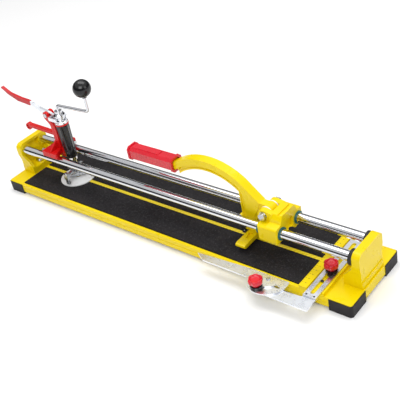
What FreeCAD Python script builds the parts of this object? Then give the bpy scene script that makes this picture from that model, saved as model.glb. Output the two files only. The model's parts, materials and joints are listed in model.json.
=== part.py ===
import FreeCAD, Part
import math
import os

# Manual tile cutter, 600 mm class, with a crank-driven hole cutter on its rails.
# Millimetres, +Z up. X runs along the rails, +Y towards the back of the tool.
# The shapes are drawn about the middle of the base, on the bench, and every
# part is then shifted so that the origin lies under the middle of the whole tool.
SHIFT = FreeCAD.Vector(11.5, 20.0, 0.0)

# ---- driving dimensions: base ----
BASE_LENGTH = 760.0
BASE_WIDTH = 140.0
DECK_TOP = 21.0
SHEET = 3.0
FOOT_LENGTH = 38.0
FOOT_WIDTH = 40.0
FOOT_SOLE = 4.0
FOOT_WALL = 1.2
PAD_TOP = 22.4
PAD_LEFT = -342.0
PAD_RIGHT = 288.5
PAD_EDGE = 61.6
STRIP_HALF = 3.5
RECESS_DEPTH = 3.0
HEM = 2.2
HEM_HEIGHT = 0.8
RIB = 2.5
RIB_FOOT = 7.0
RIB_CELLS = 11

# ---- driving dimensions: rails and end brackets ----
RAIL_RADIUS = 8.0
RAIL_HALF_SPREAD = 22.5
RAIL_HEIGHT = 70.0
RAIL_HALF_LENGTH = 371.0
BRACKET_OUTER = 374.8
BRACKET_RIM = 362.0
BRACKET_FOOT = 345.0
BRACKET_FOOT_OUTER = 376.3
BRACKET_TOP = 84.0
BRACKET_FOOT_TOP = 33.0
BRACKET_BOSS = 11.0
BRACKET_WALL = 5.0
BUMPER_RADIUS = 12.5
BUMPER_LENGTH = 6.0

# ---- driving dimensions: fence and side guide ----
FENCE_LEFT = 292.0
FENCE_WIDTH = 14.0
FENCE_TOP = 27.0
FENCE_HALF = 69.0
CHANNEL_FLOOR = 23.0
CHANNEL_RIGHT = 334.0
ARM_CENTRE = 318.2
ARM_WIDTH = 21.4
PLATE = 2.5
SLIDE_GAP = 0.2
PIVOT = (244.5, -77.5)
CLAMP = (238.0, -99.0)
CLAMP_RADIUS = math.hypot(CLAMP[0] - PIVOT[0], CLAMP[1] - PIVOT[1])
FENCE_STUD = (ARM_CENTRE, -18.5)
STUD_RADIUS = 3.0
KNOB_RADIUS = 11.5
KNOB_HEIGHT = 12.5

# ---- driving dimensions: carriage and arm ----
CARRIAGE_LEFT = 200.5
CARRIAGE_RIGHT = 238.0
CARRIAGE_HALF = 36.0
CARRIAGE_FLOOR = 57.0
CARRIAGE_TOP = 98.0
BUSH_RADIUS = 10.5
RUNNING = 0.06
HINGE = (205.0, 90.0)
HINGE_BOSS = 10.0
HINGE_PIN = 3.5
ARM_HALF = 8.0
ARCH = (90.5, 35.7)
ARCH_OUTER = 116.4
ARCH_RIM = 105.0
ARCH_WEB = 98.0
ARCH_INNER = 95.5
GRIP_LEFT = -75.0
GRIP_RIGHT = 25.0
GRIP_AXIS = 126.0
GRIP_HALF = 12.0
WHEEL = (148.0, 30.5)
WHEEL_RADIUS = 8.0
FOOT_PIN = 43.0
FOOT_MIDDLE = 168.0
FOOT_SPAN = 42.0

# ---- driving dimensions: hole cutter ----
SPINDLE = -251.0
SPINDLE_RADIUS = 6.0
SLEEVE_BOTTOM = 70.0
SLEEVE_TOP = 140.5
LEVER_PIVOT = (-282.5, 154.5)
FORK_INNER = 11.3
FORK_OUTER = 13.5
GROOVE_MIDDLE = 152.8
POST_LEFT = -277.0
POST_RIGHT = -265.0
CHEEK_INNER = 3.4
CHEEK_OUTER = 8.0
CRANK_RADIUS = 2.9
CRANK_HEIGHT = 178.5
CRANK_END = (-172.0, 6.0)
BALL_RADIUS = 16.25
BALL_CENTRE = 224.5
DISC_RADIUS = 34.0
DISC_TOP = 24.0
TRAMMEL_ANGLE = -78.7
TRAMMEL_REACH = 30.0
CIRCLE_WHEEL_RADIUS = 5.0

V = FreeCAD.Vector
X, Y, Z = V(1, 0, 0), V(0, 1, 0), V(0, 0, 1)


# ---- drawing helpers ----
def box(x0, x1, y0, y1, z0, z1):
    return Part.makeBox(x1 - x0, y1 - y0, z1 - z0, V(x0, y0, z0))


def rod(start, end, radius):
    """A cylinder from one point to another."""
    a, b = V(*start), V(*end)
    return Part.makeCylinder(radius, (b - a).Length, a, b - a)


def ring(start, end, outer, inner):
    return rod(start, end, outer).cut(rod(start, end, inner))


def fuse(*shapes):
    return shapes[0].fuse(list(shapes[1:])).removeSplitter()


def cut(shape, *tools):
    return shape.cut(list(tools))


def mirror_x(shape):
    return shape.mirror(V(0, 0, 0), X)


def mirror_y(shape):
    return shape.mirror(V(0, 0, 0), Y)


def place(plane, u, v):
    """A 2-D point on plane xy, xz or yz, as a vector."""
    return {"xy": V(u, v, 0), "xz": V(u, 0, v), "yz": V(0, u, v)}[plane]


def outline(plane, corners):
    """A closed wire through corners (u, v) or (u, v, radius), each round one as an arc."""
    count = len(corners)
    starts, ends, middles = [], [], []
    for i, corner in enumerate(corners):
        here = place(plane, corner[0], corner[1])
        radius = corner[2] if len(corner) > 2 else 0.0
        if not radius:
            starts.append(here)
            ends.append(here)
            middles.append(None)
            continue
        before = place(plane, *corners[i - 1][:2])
        after = place(plane, *corners[(i + 1) % count][:2])
        back = (before - here).normalize()
        ahead = (after - here).normalize()
        half = back.getAngle(ahead) / 2
        inward = (back + ahead).normalize()
        starts.append(here + back * (radius / math.tan(half)))
        ends.append(here + ahead * (radius / math.tan(half)))
        middles.append(here + inward * (radius / math.sin(half) - radius))
    edges = []
    for i in range(count):
        if middles[i] is not None:
            edges.append(Part.Arc(starts[i], middles[i], ends[i]).toShape())
        following = starts[(i + 1) % count]
        if (following - ends[i]).Length > 1e-6:
            edges.append(Part.LineSegment(ends[i], following).toShape())
    return Part.Wire(edges)


def prism(plane, corners, low, high):
    """The outline's face, extruded square to its plane from low to high."""
    along = {"xy": Z, "xz": Y, "yz": X}[plane]
    face = Part.Face(outline(plane, corners))
    face.translate(along * low)
    return face.extrude(along * (high - low))


def turned(profile, x, y):
    """A solid of revolution about a vertical axis at x, y from (radius, height) corners."""
    face = Part.Face(outline("xz", profile))
    solid = face.revolve(V(0, 0, 0), Z, 360)
    solid.translate(V(x, y, 0))
    return solid


def sector(centre, inner, outer, start, end, half):
    """A slice of a ring in the XZ plane, from one angle to another, centred on y = 0."""
    def at(radius, angle):
        turn = math.radians(angle)
        return V(centre[0] + radius * math.cos(turn), 0, centre[1] + radius * math.sin(turn))

    middle = (start + end) / 2
    edges = [
        Part.Arc(at(outer, start), at(outer, middle), at(outer, end)).toShape(),
        Part.LineSegment(at(outer, end), at(inner, end)).toShape(),
        Part.Arc(at(inner, end), at(inner, middle), at(inner, start)).toShape(),
        Part.LineSegment(at(inner, start), at(outer, start)).toShape(),
    ]
    face = Part.Face(Part.Wire(edges))
    face.translate(Y * -half)
    return face.extrude(Y * (2 * half))


def hexagon(across, x, y, low, high):
    radius = across / math.sqrt(3)
    corners = [
        (x + radius * math.cos(math.radians(60 * i)), y + radius * math.sin(math.radians(60 * i)))
        for i in range(6)
    ]
    return prism("xy", corners, low, high)


def save(name, *solids):
    shape = solids[0] if len(solids) == 1 else Part.makeCompound(list(solids))
    moved = shape.copy()
    moved.translate(SHIFT)
    moved.exportStep(os.path.join("parts", name + ".step"))


# ---- base ----
def base_tray():
    """The pressed pan: a deck with turned-down skirts, and a recess for the pads."""
    end, side = BASE_LENGTH / 2 - FOOT_WALL, BASE_WIDTH / 2 - FOOT_WALL
    corner = 4.0
    plan = [(-end, -side, corner), (end, -side, corner), (end, side, corner), (-end, side, corner)]
    pan = prism("xy", plan, FOOT_SOLE, DECK_TOP)
    floor = DECK_TOP - RECESS_DEPTH
    hollow = box(SHEET - end, end - SHEET, SHEET - side, side - SHEET, FOOT_SOLE, floor - SHEET)
    recess = box(PAD_LEFT - 1, FENCE_LEFT - 1, -PAD_EDGE - 1, PAD_EDGE + 1, floor, DECK_TOP)
    pan = cut(pan, hollow, recess)
    groove_depth, groove_low, groove_high = 0.8, 13.0, 14.4
    for sign in (-1, 1):
        outer, inner = sign * side, sign * (side - groove_depth)
        low, high = min(outer, inner), max(outer, inner)
        reach = BASE_LENGTH / 2 - FOOT_LENGTH - 2
        pan = cut(pan, box(-reach, reach, low, high, groove_low, groove_high))
    ribs = [box(SHEET - end, end - SHEET, -RIB / 2, RIB / 2, RIB_FOOT, floor - SHEET)]
    for i in range(1, RIB_CELLS):
        x = -end + 2 * end * i / RIB_CELLS
        ribs.append(box(x - RIB / 2, x + RIB / 2, SHEET - side, side - SHEET, RIB_FOOT, floor - SHEET))
    hem = prism("xy", plan, DECK_TOP, DECK_TOP + HEM_HEIGHT)
    hem = cut(
        hem,
        box(HEM - end, end - HEM, HEM - side, side - HEM, DECK_TOP, DECK_TOP + HEM_HEIGHT),
        box(FENCE_LEFT - 8, CHANNEL_RIGHT + 1, -side, side, DECK_TOP, DECK_TOP + HEM_HEIGHT),
    )
    pan = fuse(pan, hem, *ribs)
    seats = [rod((x, y, RIB_FOOT - 1), (x, y, floor - SHEET), 9.0) for x, y in bracket_bolt_places()]
    holes = [rod((x, y, floor - SHEET), (x, y, DECK_TOP), 4.0) for x, y in bracket_bolt_places()]
    return cut(pan, *seats, *holes)


def rubber_feet():
    """Four corner boots that wrap the pan's corners."""
    x1, y1 = BASE_LENGTH / 2, BASE_WIDTH / 2
    x0, y0 = x1 - FOOT_LENGTH, y1 - FOOT_WIDTH
    shell = prism("xy", [(x0, y0), (x1, y0), (x1, y1, 5.0), (x0, y1)], 0.0, DECK_TOP - 0.6)
    pan_corner = prism(
        "xy",
        [(x0 - 1, y0 - 1), (x1 - FOOT_WALL, y0 - 1), (x1 - FOOT_WALL, y1 - FOOT_WALL, 4.0),
         (x0 - 1, y1 - FOOT_WALL)],
        FOOT_SOLE, DECK_TOP,
    )
    boot = shell.cut(pan_corner)
    right_back = boot
    right_front = mirror_y(boot)
    return [right_back, right_front, mirror_x(right_back), mirror_x(right_front)]


def tile_pad(sign):
    low, high = sorted((sign * (STRIP_HALF + 0.5), sign * PAD_EDGE))
    return box(PAD_LEFT, PAD_RIGHT, low, high, DECK_TOP - RECESS_DEPTH, PAD_TOP)


def breaker_strip():
    """The raised bar under the score line, with slightly eased top edges."""
    ease = 0.8
    profile = [
        (-STRIP_HALF, DECK_TOP - RECESS_DEPTH), (STRIP_HALF, DECK_TOP - RECESS_DEPTH),
        (STRIP_HALF, PAD_TOP - ease), (STRIP_HALF - ease, PAD_TOP),
        (ease - STRIP_HALF, PAD_TOP), (-STRIP_HALF, PAD_TOP - ease),
    ]
    return prism("yz", profile, PAD_LEFT, PAD_RIGHT + 0.5)


def protective_disc():
    """The loose white disc that lies on the pads under the hole cutter."""
    disc = ring((SPINDLE, 0, PAD_TOP), (SPINDLE, 0, DISC_TOP), DISC_RADIUS, 4.0)
    return disc


# ---- rails and end brackets ----
def bracket_bolt_places():
    return [(-359.0, 0.0), (359.0, 0.0)]


def rail(sign):
    y = sign * RAIL_HALF_SPREAD
    return rod((-RAIL_HALF_LENGTH, y, RAIL_HEIGHT), (RAIL_HALF_LENGTH, y, RAIL_HEIGHT), RAIL_RADIUS)


def bracket_profile(inset):
    """Outline of the end casting seen along the rails: a waist, then a bulge round the rails."""
    half_foot, half_rail = 30.7 - inset, 33.7 - inset
    top = BRACKET_TOP - inset
    right = [
        (half_foot, DECK_TOP), (half_foot, 48.0, 24.0), (half_rail, 61.0, 12.0),
        (half_rail, top, 10.5),
    ]
    left = [(-c[0],) + c[1:] for c in reversed(right)]
    return right + left


def bracket_foot():
    """The block on the deck, with a parting line round it just below its top."""
    half, line, depth = 30.7, 30.2, 0.5
    layers = [(DECK_TOP, line, 0.0), (line, line + 0.8, depth), (line + 0.8, BRACKET_FOOT_TOP, 0.0)]
    blocks = []
    for low, high, inset in layers:
        blocks.append(prism("xy", [
            (BRACKET_FOOT + inset, inset - half, 3.0), (BRACKET_FOOT_OUTER - inset, inset - half),
            (BRACKET_FOOT_OUTER - inset, half - inset), (BRACKET_FOOT + inset, half - inset, 3.0),
        ], low, high))
    return fuse(*blocks)


def end_bracket():
    """The right-hand end casting: foot, outer wall, rim all round, and two rail bosses."""
    outer = prism("yz", bracket_profile(0.0), BRACKET_FOOT, BRACKET_OUTER)
    inner = prism("yz", bracket_profile(BRACKET_WALL), BRACKET_FOOT - 1, BRACKET_OUTER - BRACKET_WALL)
    shell = outer.cut(inner)
    swept = prism(
        "xz",
        [(BRACKET_FOOT - 2, BRACKET_FOOT_TOP + 1), (BRACKET_RIM, 57.0, 10.0),
         (BRACKET_RIM, BRACKET_TOP + 5), (BRACKET_FOOT - 2, BRACKET_TOP + 5)],
        -60, 60,
    )
    solids = [shell.cut(swept), bracket_foot()]
    for sign in (-1, 1):
        y = sign * RAIL_HALF_SPREAD
        start, end = (BRACKET_RIM, y, RAIL_HEIGHT), (BRACKET_OUTER - 1, y, RAIL_HEIGHT)
        solids.append(rod(start, end, BRACKET_BOSS))
    body = fuse(*solids)
    x, y = bracket_bolt_places()[1]
    bores = [rail(-1), rail(1), rod((x, y, DECK_TOP), (x, y, BRACKET_FOOT_TOP), 4.0)]
    for sign in (-1, 1):
        low, high = sorted((sign * 23.0, sign * 28.0))
        bores.append(box(BRACKET_OUTER - 0.8, BRACKET_OUTER, low, high, BRACKET_FOOT_TOP, 34.4))
    return cut(body, *bores)


def bumper_rings():
    """Two rubber rings on the rails against the right-hand bracket's bosses."""
    rings = []
    for sign in (-1, 1):
        y = sign * RAIL_HALF_SPREAD
        start, end = (BRACKET_RIM - BUMPER_LENGTH, y, RAIL_HEIGHT), (BRACKET_RIM, y, RAIL_HEIGHT)
        rings.append(ring(start, end, BUMPER_RADIUS, RAIL_RADIUS))
    return rings


def bracket_bolts():
    """A domed bolt through each bracket's foot and the deck, with its nut below."""
    bolts = []
    under = DECK_TOP - SHEET
    for x, y in bracket_bolt_places():
        head = turned([(0, BRACKET_FOOT_TOP), (8.0, BRACKET_FOOT_TOP), (8.0, BRACKET_FOOT_TOP + 2.5),
                       (5.5, BRACKET_FOOT_TOP + 5.5, 2.0), (0, BRACKET_FOOT_TOP + 5.5)], x, y)
        shank = rod((x, y, 6.5), (x, y, BRACKET_FOOT_TOP), 4.0)
        nut = hexagon(13.0, x, y, under - SHEET - 6.5, under - SHEET)
        bolts.append(fuse(head, shank, nut))
    return bolts


# ---- fence and side guide ----
def fence():
    """The end fence and the channel behind it, in one folded and welded part."""
    bar = box(FENCE_LEFT, FENCE_LEFT + FENCE_WIDTH, -FENCE_HALF, FENCE_HALF, DECK_TOP, FENCE_TOP)
    floor = box(FENCE_LEFT, CHANNEL_RIGHT, -FENCE_HALF, FENCE_HALF, DECK_TOP, CHANNEL_FLOOR)
    wall = box(CHANNEL_RIGHT - 3.0, CHANNEL_RIGHT, -FENCE_HALF, FENCE_HALF, DECK_TOP, FENCE_TOP)
    return fuse(bar, floor, wall)


def arm_bottom():
    return CHANNEL_FLOOR + SLIDE_GAP


def slotted_arm():
    """The flat bar that slides in the channel, slotted for the clamp stud."""
    low, high = arm_bottom(), arm_bottom() + PLATE
    half = ARM_WIDTH / 2
    left, right = ARM_CENTRE - half, ARM_CENTRE + half
    bar = box(left, right, -82.0, 62.0, low, high)
    slot_half = STUD_RADIUS + 0.4
    slot = fuse(
        box(ARM_CENTRE - slot_half, ARM_CENTRE + slot_half, -71.5, 48.0, low, high),
        rod((ARM_CENTRE, -71.5, low), (ARM_CENTRE, -71.5, high), slot_half),
        rod((ARM_CENTRE, 48.0, low), (ARM_CENTRE, 48.0, high), slot_half),
    )
    return cut(bar, slot)


def front_rule():
    """The cross plate at the arm's front end, stepped down under the protractor."""
    high = arm_bottom()
    low = high - PLATE
    half = ARM_WIDTH / 2
    plan = [
        (229.0, -106.0, 3.0), (ARM_CENTRE + half, -106.0, 2.0), (ARM_CENTRE + half, -73.5),
        (ARM_CENTRE - half, -73.5), (ARM_CENTRE - half, -84.0, 2.0), (284.0, -86.5, 2.0),
        (258.0, -86.5, 4.0), (255.0, -73.5, 4.0), (234.0, -73.5, 4.0),
    ]
    joint_line = box(282.6, 283.3, -107.0, -86.0, high - 0.5, high)
    return prism("xy", plan, low, high).cut(joint_line)


def guide_rivets():
    """Two flush rivets that join the slotted arm to the front plate."""
    low, high = arm_bottom() - PLATE, arm_bottom() + PLATE
    return [rod((x, -78.5, low), (x, -78.5, high), 1.6) for x in (ARM_CENTRE - 6.5, ARM_CENTRE + 6.5)]


def protractor_pivot():
    """The shouldered rivet that the protractor turns on."""
    low = arm_bottom() - PLATE
    top = protractor_top()
    x, y = PIVOT
    return turned([(0, low - 1.0), (3.4, low - 1.0), (3.4, low), (2.0, low), (2.0, top + 0.3),
                   (3.4, top + 0.3), (3.4, top + 1.0), (2.4, top + 1.6), (0, top + 1.6)], x, y)


def protractor_bottom():
    return arm_bottom() + SLIDE_GAP


def protractor_top():
    return protractor_bottom() + 2.0


def polar(radius, angle):
    turn = math.radians(angle)
    return (PIVOT[0] + radius * math.cos(turn), PIVOT[1] + radius * math.sin(turn))


def arc_slot(radius, half_width, start, end, low, high):
    """A curved slot about the protractor's pivot."""
    def point(r, angle):
        x, y = polar(r, angle)
        return V(x, y, low)

    middle = (start + end) / 2
    inner, outer = radius - half_width, radius + half_width
    edges = [
        Part.Arc(point(outer, start), point(outer, middle), point(outer, end)).toShape(),
        Part.LineSegment(point(outer, end), point(inner, end)).toShape(),
        Part.Arc(point(inner, end), point(inner, middle), point(inner, start)).toShape(),
        Part.LineSegment(point(inner, start), point(outer, start)).toShape(),
    ]
    return Part.Face(Part.Wire(edges)).extrude(Z * (high - low))


def protractor_plate():
    """The D-shaped quadrant plate with a tail that carries the mitre blade."""
    low, high = protractor_bottom(), protractor_top()
    radius = 33.5
    x, y = PIVOT
    disc = rod((x, y, low), (x, y, high), radius)
    disc = cut(disc, box(x - 50, x + 50, y + 8.5, y + 50, low - 1, high + 1))
    tail = box(206.8, x, y - 10.5, y + 7.5, low, high)
    plate = fuse(disc, tail)
    slot = arc_slot(CLAMP_RADIUS, 5.5, -118.0, -15.0, low - 1, high + 1)
    pivot_hole = rod((x, y, low - 1), (x, y, high + 1), 2.06)
    return cut(plate, slot, pivot_hole)


def mitre_blade():
    """The pointed straight edge riveted to the protractor's tail."""
    low, high = protractor_bottom(), protractor_top()
    plan = [(108.7, -77.8), (127.0, -88.2), (206.5, -88.2), (206.5, -70.2)]
    blade = prism("xy", plan, low, high + 0.6)
    tongue = box(206.5, 226.0, -85.0, -73.0, high, high + 0.6)
    return fuse(blade, tongue)


def clamp_stud(x, y, low, high):
    """A carriage bolt: low head, then a plain stud."""
    head = rod((x, y, low - 1.6), (x, y, low), 5.5)
    return fuse(head, rod((x, y, low), (x, y, high), STUD_RADIUS))


def clamp_washer(x, y, low, high, radius):
    return ring((x, y, low), (x, y, high), radius, STUD_RADIUS)


def fence_washer():
    """The plastic clamp washer, with the pointer tab that hangs over the slotted arm."""
    x, y = FENCE_STUD
    low, high = arm_bottom() + PLATE + SLIDE_GAP, 29.2
    tab = box(x + 0.5, x + 8.0, y - 14.0, y - 6.0, low, high - 0.6)
    return fuse(clamp_washer(x, y, low, high, 9.5), tab)


def knob(x, y, low):
    """An eight-lobed clamp knob with a dished top and a blind bore for its stud."""
    top = low + KNOB_HEIGHT
    body = turned([
        (0, low), (7.5, low), (8.5, low + 2.5), (KNOB_RADIUS, low + 4.0, 1.0),
        (KNOB_RADIUS, top - 1.5, 1.5), (9.0, top, 1.0), (7.4, top), (6.4, top - 2.2), (0, top - 2.2),
    ], x, y)
    lobes = 8
    for i in range(lobes):
        turn = 2 * math.pi * (i + 0.5) / lobes
        px, py = x + 14.6 * math.cos(turn), y + 14.6 * math.sin(turn)
        body = body.cut(rod((px, py, low - 1), (px, py, top + 1), 4.2))
    return body.cut(rod((x, y, low - 1), (x, y, top - 4.0), STUD_RADIUS + 0.05))


# ---- carriage ----
def carriage_body():
    """The sliding casting: two rail sleeves, a bridge with a grooved top, and hinge ears."""
    y1 = CARRIAGE_HALF
    floor, top = CARRIAGE_FLOOR, CARRIAGE_TOP
    half = [(y1, floor, 2.0), (y1, 83.5, 5.0), (22.0, 85.0), (20.5, 90.0, 2.0), (15.5, top, 2.0)]
    profile = half + [(-c[0],) + c[1:] for c in reversed(half)]
    bridge = prism("yz", profile, CARRIAGE_LEFT, CARRIAGE_RIGHT)
    plan = [(CARRIAGE_LEFT, -y1, 7.0), (CARRIAGE_RIGHT, -y1, 3.5), (CARRIAGE_RIGHT, y1, 3.5),
            (CARRIAGE_LEFT, y1, 7.0)]
    bridge = bridge.common(prism("xy", plan, floor, top))
    hx, hz = HINGE
    clear_left = hx + HINGE_BOSS + 3.0
    bridge = cut(
        bridge,
        box(CARRIAGE_LEFT - 1, clear_left, -60, 60, 82.0, top + 1),
        box(CARRIAGE_LEFT - 1, clear_left, -9.6, 9.6, 76.0, top + 1),
        rod((CARRIAGE_LEFT - 1, 0, 52), (CARRIAGE_RIGHT + 1, 0, 52), 13.0),
        box(230.0, 233.2, -30, 30, top - 2.2, top + 1),
        prism("xz", [(CARRIAGE_RIGHT - 5, 66.0), (CARRIAGE_RIGHT + 1, 64.0), (CARRIAGE_RIGHT + 1, 84.0),
                     (CARRIAGE_RIGHT - 5, 80.0)], -9.0, 9.0),
    )
    ears = []
    for sign in (-1, 1):
        low, high = sorted((sign * 9.6, sign * 19.0))
        ear = prism("xz", [(hx - 10.5, 80.0, 6.0), (clear_left + 3, 72.0), (clear_left + 3, top - 1.0),
                           (hx + 3.0, hz + 9.5, 8.0), (hx - 10.5, hz + 9.5, 9.0)], low, high)
        ears.append(ear)
    body = fuse(bridge, *ears)
    holes = [rod((hx, -30, hz), (hx, 30, hz), HINGE_PIN)]
    for sign in (-1, 1):
        y = sign * RAIL_HALF_SPREAD
        holes.append(rod((CARRIAGE_LEFT - 1, y, RAIL_HEIGHT), (CARRIAGE_RIGHT + 1, y, RAIL_HEIGHT),
                         BUSH_RADIUS))
    return cut(body, *holes)


def rail_bushes():
    """Four plastic bushes pressed into the ends of the carriage's two sleeves."""
    bushes = []
    for sign in (-1, 1):
        y = sign * RAIL_HALF_SPREAD
        for start, end in ((CARRIAGE_LEFT - 2.0, CARRIAGE_LEFT + 12.0),
                           (CARRIAGE_RIGHT - 12.0, CARRIAGE_RIGHT + 2.0)):
            bushes.append(ring((start, y, RAIL_HEIGHT), (end, y, RAIL_HEIGHT), BUSH_RADIUS,
                               RAIL_RADIUS + RUNNING))
    return bushes


def hinge_bolt():
    """The bolt that the arm hinges on, with its domed head in front."""
    hx, hz = HINGE
    shank = rod((hx, -19.0, hz), (hx, 24.5, hz), HINGE_PIN)
    head = fuse(rod((hx, -24.5, hz), (hx, -19.8, hz), 6.0), rod((hx, -19.8, hz), (hx, -19.0, hz), 7.0))
    return fuse(shank, head)


def hinge_nut():
    hx, hz = HINGE
    nut = hexagon(13.0, 0, 0, 19.0, 24.0)
    nut.rotate(V(0, 0, 0), X, -90)
    nut.translate(V(hx, 0, hz))
    return nut.cut(rod((hx, 0, hz), (hx, 30, hz), HINGE_PIN))


def hinge_washers():
    """Two nylon washers between the arm and the ears."""
    hx, hz = HINGE
    return [
        ring((hx, s * (ARM_HALF + 0.1), hz), (hx, s * 9.6, hz), 10.6, HINGE_PIN)
        for s in (-1, 1)
    ]


# ---- arm ----
def arm_casting():
    """The arched handle arm: thick outer rim, thin web, inner bead, heel and hinge boss."""
    left_end, right_end = 128.0, 53.3
    rim = sector(ARCH, ARCH_RIM, ARCH_OUTER, right_end, left_end, ARM_HALF)
    web = sector(ARCH, ARCH_INNER, ARCH_RIM + 1, 50.6, left_end, 2.5)
    bead = sector(ARCH, ARCH_INNER, ARCH_WEB, 50.6, left_end, 4.0)
    hx, hz = HINGE
    heel = prism("xz", [
        (159.8, 129.2), (176.0, 114.5, 20.0), (191.5, 101.0), (188.5, 92.0), (176.5, 68.0, 8.0),
        (176.5, 52.0, 2.0), (163.0, 52.0), (163.0, 104.0, 12.0), (153.2, 119.8),
    ], -ARM_HALF, ARM_HALF)
    strap = prism("xz", [
        (180.0, 109.5), (191.5, 100.8, 10.0), (hx, hz + HINGE_BOSS), (hx, hz - HINGE_BOSS),
        (193.0, 82.5, 10.0), (180.5, 66.0, 6.0), (180.5, 52.0, 2.0), (170.0, 52.0), (170.0, 100.0),
    ], -6.6, 6.6)
    boss = rod((hx, -ARM_HALF, hz), (hx, ARM_HALF, hz), HINGE_BOSS)
    heel_web = prism("xz", [(151.0, 52.0), (165.0, 52.0), (165.0, 113.0), (151.0, 110.0)], -2.5, 2.5)
    heel_bead = prism("xz", [(151.0, 52.0), (153.5, 52.0), (153.5, 110.5), (151.0, 109.6)], -4.0, 4.0)
    lugs = []
    for start in (155.5, 174.5):
        lugs.append(box(start, start + 6.0, -6.5, 6.5, 39.5, 60.0))
    tang = box(GRIP_LEFT + 15, 34.0, -6.0, 6.0, GRIP_AXIS - 6, GRIP_AXIS + 6)
    socket = box(142.0, 155.5, -6.0, 6.0, 44.0, 60.0)
    arm = fuse(rim, web, bead, heel, strap, boss, heel_web, heel_bead, tang, socket, *lugs)
    wx, wz = WHEEL
    return cut(
        arm,
        rod((hx, -30, hz), (hx, 30, hz), HINGE_PIN + RUNNING),
        rod((140, 0, FOOT_PIN), (190, 0, FOOT_PIN), 2.5),
        box(wx - 4.5, wx + 4.5, -3.0, 3.0, 43.0, 56.0),
    )


def wheel_fork():
    """The steel shank and fork that hold the scoring wheel under the heel."""
    wx, wz = WHEEL
    fork = fuse(
        box(wx - 4.5, wx + 4.5, -3.0, 3.0, 38.0, 56.0),
        prism("xz", [(wx - 4.5, 44.0), (wx - 4.5, wz - 3.5, 3.5), (wx + 4.5, wz - 3.5, 3.5),
                     (wx + 4.5, 44.0)], -4.2, 4.2),
    )
    gap = box(wx - 20, wx + 20, -1.6, 1.6, 0.0, 40.0)
    return cut(fork, gap, rod((wx, -6, wz), (wx, 6, wz), 1.5))


def wheel_axle():
    wx, wz = WHEEL
    return rod((wx, -4.8, wz), (wx, 4.8, wz), 1.5)


def wheel_screw():
    """The set screw that locks the fork's shank in the heel."""
    wx = WHEEL[0]
    return rod((wx, -8.0, 51.0), (wx, -3.0, 51.0), 2.0)


def scoring_wheel():
    """The carbide wheel, bevelled to an edge."""
    wx, wz = WHEEL
    profile = [(1.56, -1.2), (WHEEL_RADIUS - 1.6, -1.2), (WHEEL_RADIUS, -0.15), (WHEEL_RADIUS, 0.15),
               (WHEEL_RADIUS - 1.6, 1.2), (1.56, 1.2)]
    wheel = turned(profile, 0, 0)
    wheel.rotate(V(0, 0, 0), X, 90)
    wheel.translate(V(wx, 0, wz))
    return wheel


def grip():
    """The moulded handle sleeve: a bevelled bar with a rim at each end, open towards the arm."""
    def section(half, bevel):
        a, b = half, half - bevel
        c = GRIP_AXIS
        return [(-b, c - a), (b, c - a), (a, c - b), (a, c + b), (b, c + a), (-b, c + a),
                (-a, c + b), (-a, c - b)]

    body = prism("yz", section(GRIP_HALF, 4.5), GRIP_LEFT, GRIP_RIGHT)
    rims = [
        prism("yz", section(GRIP_HALF + 1.4, 4.8), GRIP_LEFT, GRIP_LEFT + 3.5),
        prism("yz", section(GRIP_HALF + 1.4, 4.8), GRIP_RIGHT - 3.5, GRIP_RIGHT),
    ]
    handle = fuse(body, *rims)
    return cut(
        handle,
        box(GRIP_LEFT + 15, GRIP_RIGHT + 1, -6.0, 6.0, GRIP_AXIS - 6, GRIP_AXIS + 6),
        prism("yz", section(GRIP_HALF - 2.5, 3.5), GRIP_RIGHT - 14, GRIP_RIGHT + 1),
    )


def grip_panel():
    """The raised textured panel on top of the grip."""
    z = GRIP_AXIS + GRIP_HALF
    return prism("xy", [(GRIP_LEFT + 7, -6.6, 2.0), (-8.0, -6.6, 2.0), (-8.0, 6.6, 2.0),
                        (GRIP_LEFT + 7, 6.6, 2.0)], z, z + 0.9)


def grip_pins():
    """Two cross pins through the grip and the arm's tang."""
    return [rod((x, -GRIP_HALF, GRIP_AXIS), (x, GRIP_HALF, GRIP_AXIS), 1.6) for x in (-40.0, 2.0)]


# ---- breaker foot ----
def breaker_foot():
    """The wide pressing foot: two wings with a triangular pocket each, on a lug."""
    left, right = FOOT_MIDDLE - 9.0, FOOT_MIDDLE + 9.0
    low, high = 30.0, 37.0
    wings = prism("yz", [(-FOOT_SPAN, low + 1.5, 1.0), (-FOOT_SPAN + 4, low), (FOOT_SPAN - 4, low),
                         (FOOT_SPAN, low + 1.5, 1.0), (FOOT_SPAN, high - 2.0, 1.0), (FOOT_SPAN - 4, high),
                         (-FOOT_SPAN + 4, high), (-FOOT_SPAN, high - 2.0, 1.0)], left, right)
    lug = fuse(
        box(FOOT_MIDDLE - 6.2, FOOT_MIDDLE + 6.2, -6.5, 6.5, high - 1, FOOT_PIN),
        rod((FOOT_MIDDLE - 6.2, 0, FOOT_PIN), (FOOT_MIDDLE + 6.2, 0, FOOT_PIN), 6.5),
    )
    foot = fuse(wings, lug)
    pockets = []
    for sign in (-1, 1):
        pockets.append(prism("xy", [
            (FOOT_MIDDLE - 5.0, sign * 9.0), (FOOT_MIDDLE + 4.5, sign * 9.0), (FOOT_MIDDLE, sign * 25.0),
        ], high - 4.0, high + 1))
    return cut(foot, rod((100, 0, FOOT_PIN), (200, 0, FOOT_PIN), 2.5 + RUNNING), *pockets)


def foot_pin():
    return rod((154.0, 0, FOOT_PIN), (182.0, 0, FOOT_PIN), 2.5)


# ---- hole cutter: frame ----
def post_outline():
    px, pz = LEVER_PIVOT
    return [
        (POST_LEFT, 80.0), (POST_RIGHT, 80.0), (POST_RIGHT, 134.0, 6.0), (px + 7.0, pz - 2.0, 4.0),
        (px + 7.0, pz + 7.0, 6.9), (px - 7.0, pz + 7.0, 6.9), (px - 7.0, pz - 6.0, 8.0),
        (POST_LEFT, 136.0, 8.0),
    ]


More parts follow.
